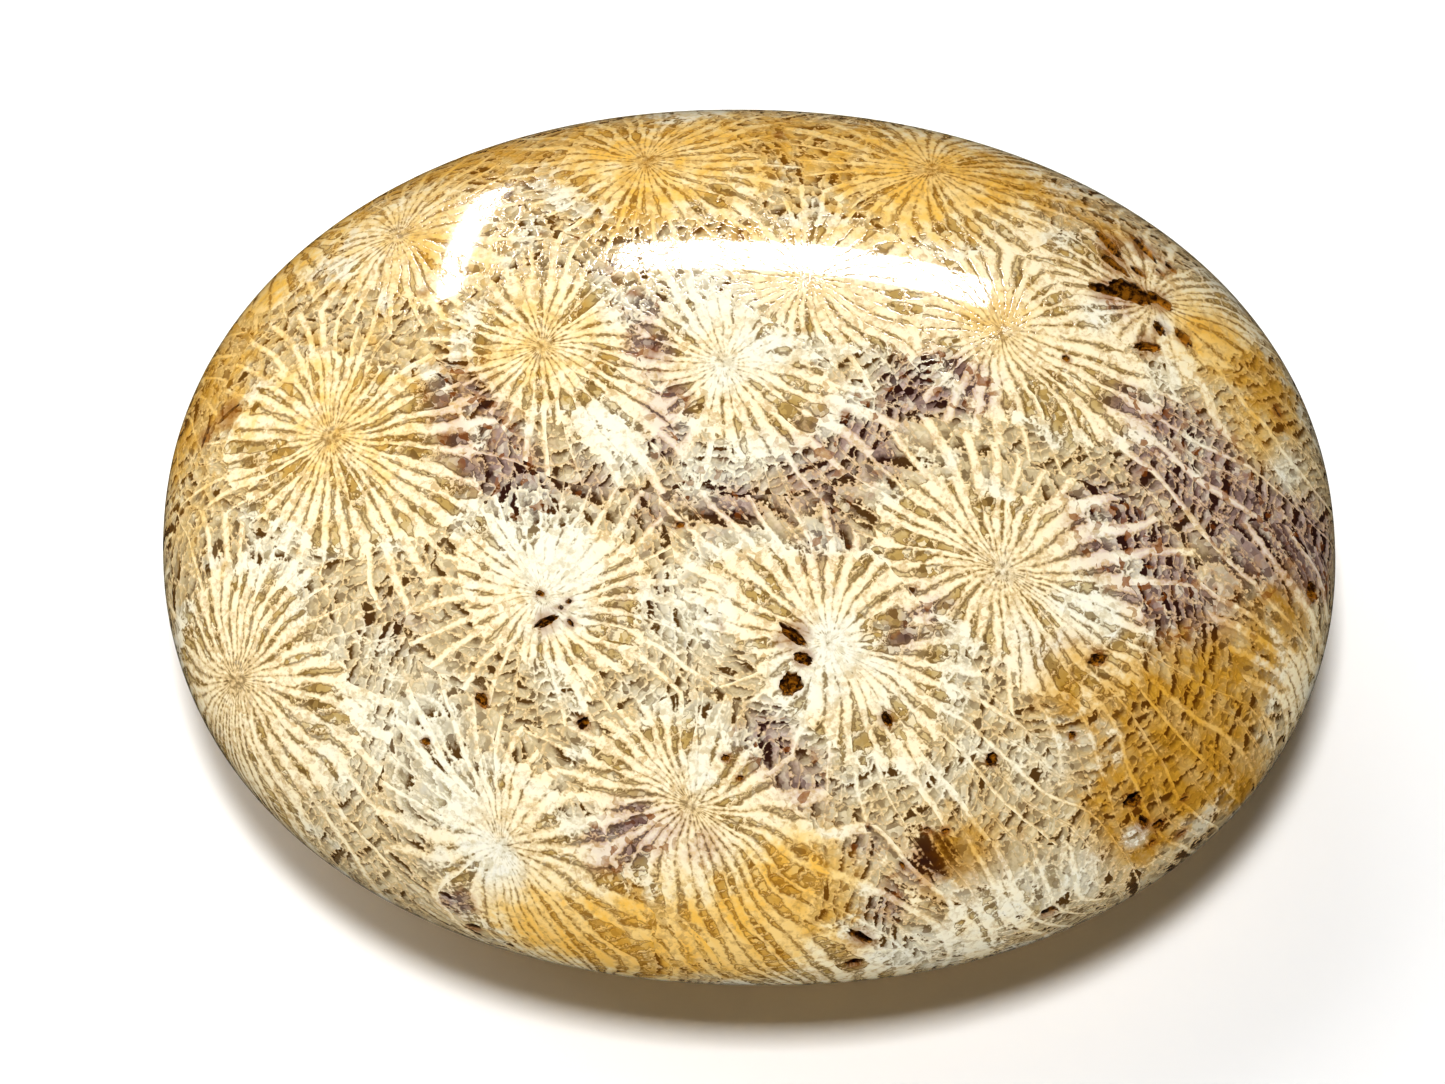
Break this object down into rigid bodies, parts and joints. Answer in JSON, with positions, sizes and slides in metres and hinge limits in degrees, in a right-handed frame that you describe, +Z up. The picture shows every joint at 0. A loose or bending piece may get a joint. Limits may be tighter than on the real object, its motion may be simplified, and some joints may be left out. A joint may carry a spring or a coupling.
{
  "type": "fossil coral pebble",
  "caption": "Tumbled and polished fossil coral stone, a smooth rounded oval with radiating corallite stars, open pores and a small worn flat to rest on.",
  "frame": {"origin": "middle of the stone's bounding box in plan, on the plane it rests on", "axes": "+X along the stone's length, +Y across its width, +Z up through its thickness"},
  "size_m": [0.062, 0.0474, 0.024],
  "materials": {
    "polished_coral": "tumbled and polished agatized coral, glossy, cream and honey septa over tan and mauve infill"
  },
  "bodies": {
    "root": {"pebble": "polished_coral"}
  },
  "joints": []
}
